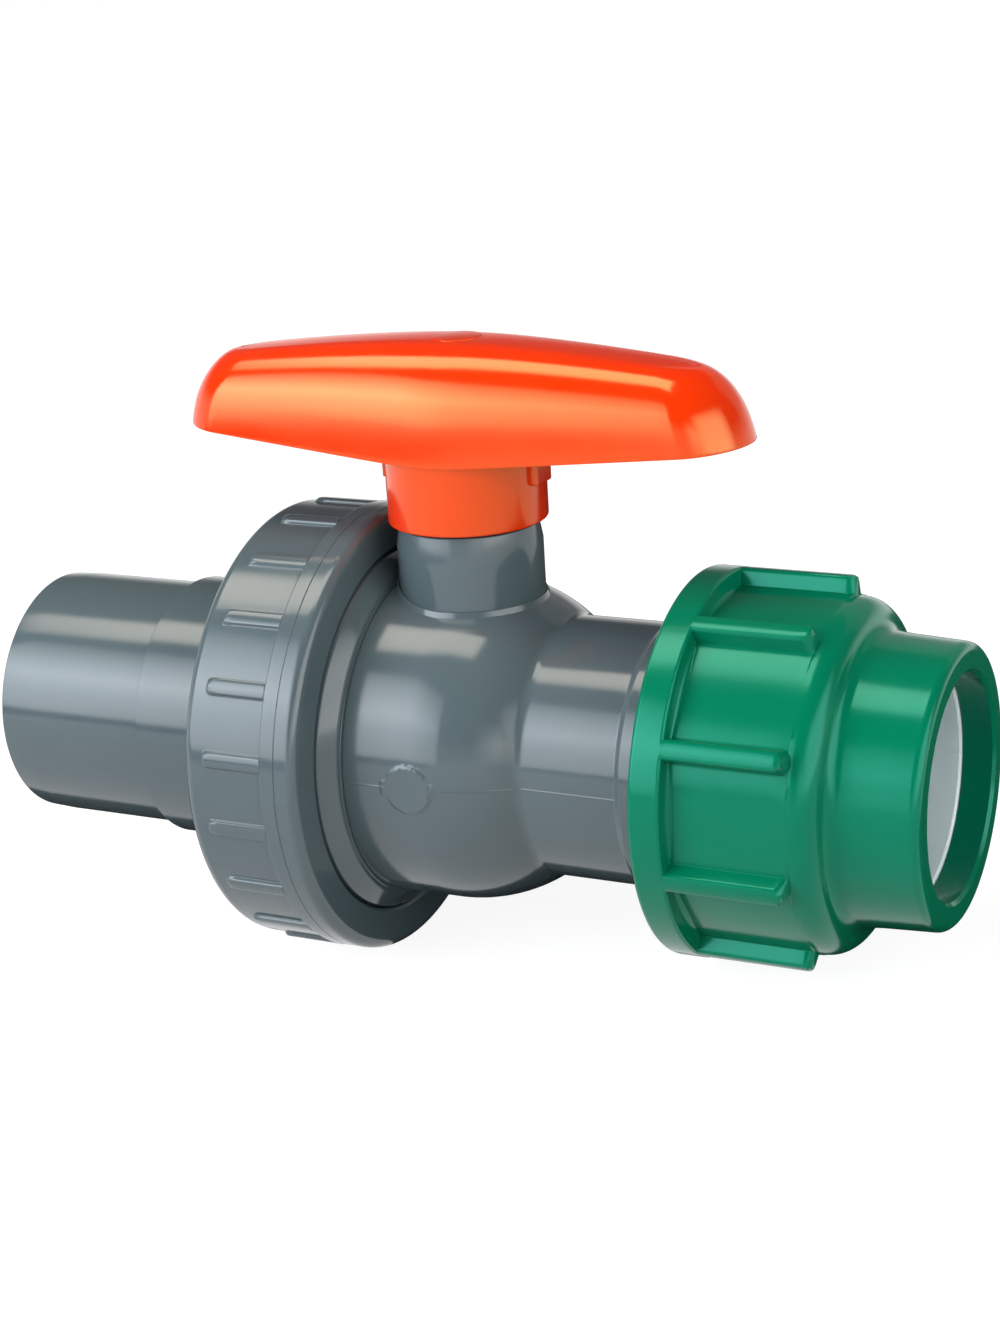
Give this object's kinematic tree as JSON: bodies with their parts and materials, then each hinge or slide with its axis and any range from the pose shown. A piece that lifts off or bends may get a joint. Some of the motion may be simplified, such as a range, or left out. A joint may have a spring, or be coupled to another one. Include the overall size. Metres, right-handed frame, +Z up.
{
  "type": "union ball valve",
  "caption": "In-line plastic ball valve with a solvent-cement spigot on a loose union, a compression socket for polyethylene pipe and a quarter-turn bar handle.",
  "frame": {"origin": "on the floor under the middle of the part, straight below the pipe axis at the part's half length", "axes": "+X along the pipe axis from the spigot to the compression end, +Z up along the stem, +Y to the far side"},
  "size_m": [0.2454, 0.1126, 0.1567],
  "materials": {
    "grey_pvc": "semi-gloss moulded",
    "orange_abs": "gloss moulded",
    "green_pp": "semi-gloss moulded",
    "white_pom": "satin moulded",
    "black_pom": "satin moulded",
    "white_ptfe": "waxy turned",
    "black_epdm": "matt moulded"
  },
  "bodies": {
    "body": {"valve_body": "grey_pvc", "threaded_pipe_end": "grey_pvc", "seat_carrier": "grey_pvc", "carrier_o_ring": "black_epdm", "union_side_ball_seat": "white_ptfe", "pipe_side_ball_seat": "white_ptfe", "union_side_seat_cushion": "black_epdm", "pipe_side_seat_cushion": "black_epdm", "pressure_bush": "black_pom", "pipe_o_ring": "black_epdm"},
    "operator": {"ball": "grey_pvc", "stem": "grey_pvc", "stem_thrust_washer": "white_ptfe", "lower_stem_o_ring": "black_epdm", "upper_stem_o_ring": "black_epdm"},
    "handle": {"handle": "orange_abs"},
    "union_tail": {"union_tail": "grey_pvc", "spigot_tube": "grey_pvc", "union_face_o_ring": "black_epdm"},
    "union_nut": {"union_nut": "grey_pvc"},
    "grip": {"clamp_ring": "white_pom"},
    "compression_nut": {"compression_nut": "green_pp"}
  },
  "joints": [
    {"name": "handle_turn", "type": "hinge", "parent": "body", "child": "operator", "pos_m": [0.00025, 0, 0.0563], "axis": [0, 0, 1], "range_deg": [-90, 0]},
    {"name": "handle_pull", "type": "slide", "parent": "operator", "child": "handle", "axis": [0, 0, 1], "range_m": [0, 0.038]},
    {"name": "union_tail_slide", "type": "slide", "parent": "body", "child": "union_tail", "axis": [-1, 0, 0], "range_m": [0, 0.021]},
    {"name": "union_nut_turn", "type": "hinge", "parent": "union_tail", "child": "union_nut", "pos_m": [-0.0364, 0, 0.0563], "axis": [-1, 0, 0], "range_deg": [0, 1260]},
    {"name": "grip_slide", "type": "slide", "parent": "body", "child": "grip", "axis": [1, 0, 0], "range_m": [0, 0.0255]},
    {"name": "compression_nut_turn", "type": "hinge", "parent": "grip", "child": "compression_nut", "pos_m": [0.091, 0, 0.0563], "axis": [1, 0, 0], "range_deg": [0, 1530]}
  ],
  "couplings": [
    {"joint": "union_tail_slide", "follows": "union_nut_turn", "m_per_rad": 0.00095493},
    {"joint": "grip_slide", "follows": "compression_nut_turn", "m_per_rad": 0.00095493}
  ]
}
